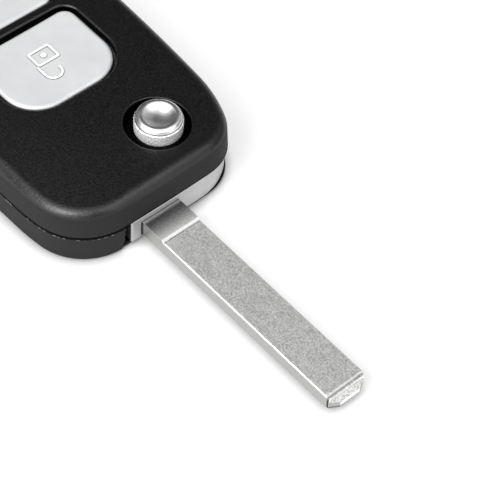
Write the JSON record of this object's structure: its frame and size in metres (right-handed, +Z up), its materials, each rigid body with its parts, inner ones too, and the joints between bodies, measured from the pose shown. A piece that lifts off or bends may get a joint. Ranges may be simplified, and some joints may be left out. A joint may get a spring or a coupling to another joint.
{
  "type": "folding car key fob shell",
  "caption": "Folding car key shell: black two-part housing, grey remote buttons, round chrome release button and an uncut blade on a metal head.",
  "frame": {"origin": "middle of the flat back face of the housing", "axes": "+X along the swung-out blade towards its tip, +Y to the side that the blade folds through, +Z up through the buttons"},
  "size_m": [0.121, 0.042, 0.0149],
  "materials": {
    "black_housing": "fine satin grain",
    "black_housing_lower": "fine satin grain",
    "black_inner": "plain moulded",
    "keypad_rubber": "matt silicone",
    "grey_key_cap": "satin silver-grey",
    "cast_head": "satin die casting",
    "blade_steel": "tumbled satin with bright edges",
    "pin_steel": "plain",
    "button_chrome": "bright plated",
    "spring_steel": "drawn wire",
    "screw_steel": "dark zinc"
  },
  "bodies": {
    "case": {"top_cover": "black_housing", "bottom_case": "black_housing_lower", "inner_tray": "black_inner", "keypad_mat": "keypad_rubber", "case_screw_front": "screw_steel", "case_screw_tail": "screw_steel"},
    "head": {"blade_head": "cast_head", "blade": "blade_steel", "blade_pin": "pin_steel", "spring_cap": "pin_steel", "flip_spring": "spring_steel"},
    "release": {"release_button": "button_chrome"},
    "unlock": {"unlock_button": "grey_key_cap"},
    "lock": {"lock_button": "grey_key_cap"}
  },
  "joints": [
    {"name": "blade_flip", "type": "hinge", "parent": "case", "child": "head", "pos_m": [0.027, 0.00615, 0.003], "axis": [0, 0, 1], "range_deg": [0, 180], "stiffness_Nm_per_rad": 0.01, "springref_deg": -34.38},
    {"name": "release_press", "type": "slide", "parent": "head", "child": "release", "axis": [0, 0, -1], "range_m": [0, 0.0019], "stiffness_N_per_m": 1500, "springref_m": -0.002, "deforming": ["flip_spring"]},
    {"name": "unlock_press", "type": "slide", "parent": "case", "child": "unlock", "axis": [0, 0, -1], "range_m": [0, 0.0005], "stiffness_N_per_m": 3000, "springref_m": -0.0004},
    {"name": "lock_press", "type": "slide", "parent": "case", "child": "lock", "axis": [0, 0, -1], "range_m": [0, 0.0005], "stiffness_N_per_m": 3000, "springref_m": -0.0004}
  ]
}
